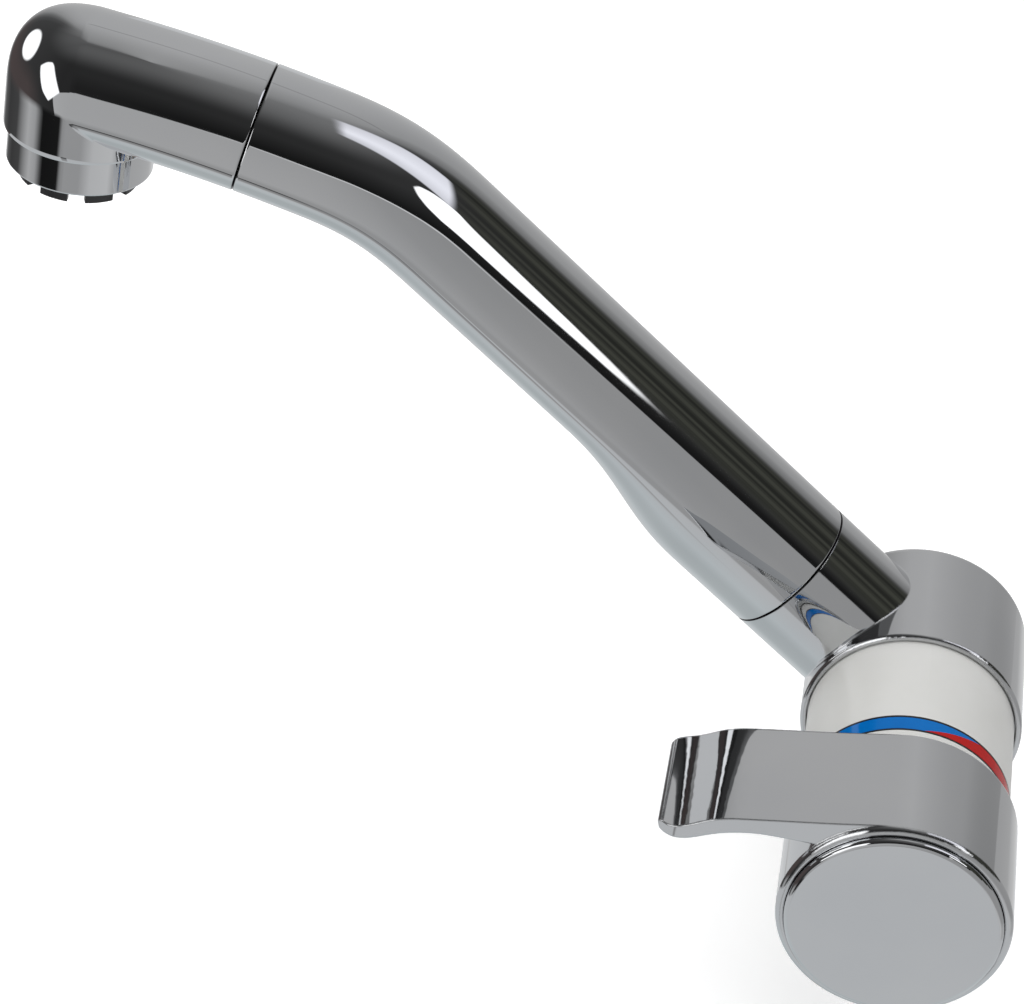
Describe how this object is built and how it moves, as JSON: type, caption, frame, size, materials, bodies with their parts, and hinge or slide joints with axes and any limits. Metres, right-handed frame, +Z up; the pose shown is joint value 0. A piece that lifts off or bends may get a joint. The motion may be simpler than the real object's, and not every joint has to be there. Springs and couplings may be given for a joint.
{
  "type": "kitchen tap",
  "caption": "Single-lever kitchen mixer tap: a side control barrel with a white colour-marked ring, a pedestal base and a cranked spout with a downturned aerator.",
  "frame": {"origin": "centre of the base on the worktop surface, on the swivel axis", "axes": "+Z up, -Y towards the user along the spout, +X towards the control end of the barrel"},
  "size_m": [0.0967, 0.2086, 0.2376],
  "materials": {
    "chrome_plate": "bright polished chrome plate",
    "white_ring": "smooth white moulded plastic",
    "blue_mark": "smooth blue inlay",
    "red_mark": "smooth red inlay",
    "black_plastic": "matt black moulded plastic",
    "natural_plastic": "natural acetal",
    "black_rubber": "smooth seal rubber",
    "raw_brass": "machined brass",
    "steel": "plain stainless steel",
    "copper_tube": "drawn copper tube",
    "ceramic_disc": "lapped white ceramic",
    "water_pipe": "smooth plastic water pipe"
  },
  "bodies": {
    "base": {"base_gasket": "black_rubber", "base_ring": "chrome_plate", "shank": "raw_brass", "swivel_stop_screw": "steel", "swivel_slip_ring": "natural_plastic", "backing_gasket": "black_rubber", "backing_washer": "steel", "fixing_nut": "raw_brass"},
    "tap_body": {"rear_body": "chrome_plate", "spout_arm": "chrome_plate", "spout_head": "chrome_plate", "aerator_collar": "chrome_plate", "indicator_ring": "white_ring", "blue_band": "blue_mark", "red_band": "red_mark", "aerator_insert": "black_plastic", "aerator_screen": "natural_plastic", "cartridge_housing": "natural_plastic", "thrust_washer": "natural_plastic", "root_sleeve": "natural_plastic", "head_sleeve": "natural_plastic", "aerator_washer": "black_rubber", "cartridge_seal": "black_rubber", "root_sleeve_o_rings": "black_rubber", "swivel_o_rings": "black_rubber", "cartridge_nut": "raw_brass", "cartridge_seat": "raw_brass", "swivel_journal": "raw_brass", "journal_washer": "steel", "journal_circlip": "steel", "inlet_tail_cold": "copper_tube", "inlet_tail_hot": "copper_tube", "fixed_disc": "ceramic_disc", "water_tube": "water_pipe"},
    "lever": {"lever_handle": "chrome_plate", "end_cap": "chrome_plate", "handle_screw": "steel", "spindle": "raw_brass", "spindle_o_rings": "black_rubber", "disc_carrier": "natural_plastic", "moving_disc": "ceramic_disc"}
  },
  "joints": [
    {"name": "body_swivel", "type": "hinge", "parent": "base", "child": "tap_body", "pos_m": [0, 0, 0], "axis": [0, 0, 1], "range_deg": [-60, 60]},
    {"name": "lever_turn", "type": "hinge", "parent": "tap_body", "child": "lever", "pos_m": [0.0157, 0, 0.037], "axis": [-1, 0, 0], "range_deg": [0, 100]}
  ]
}
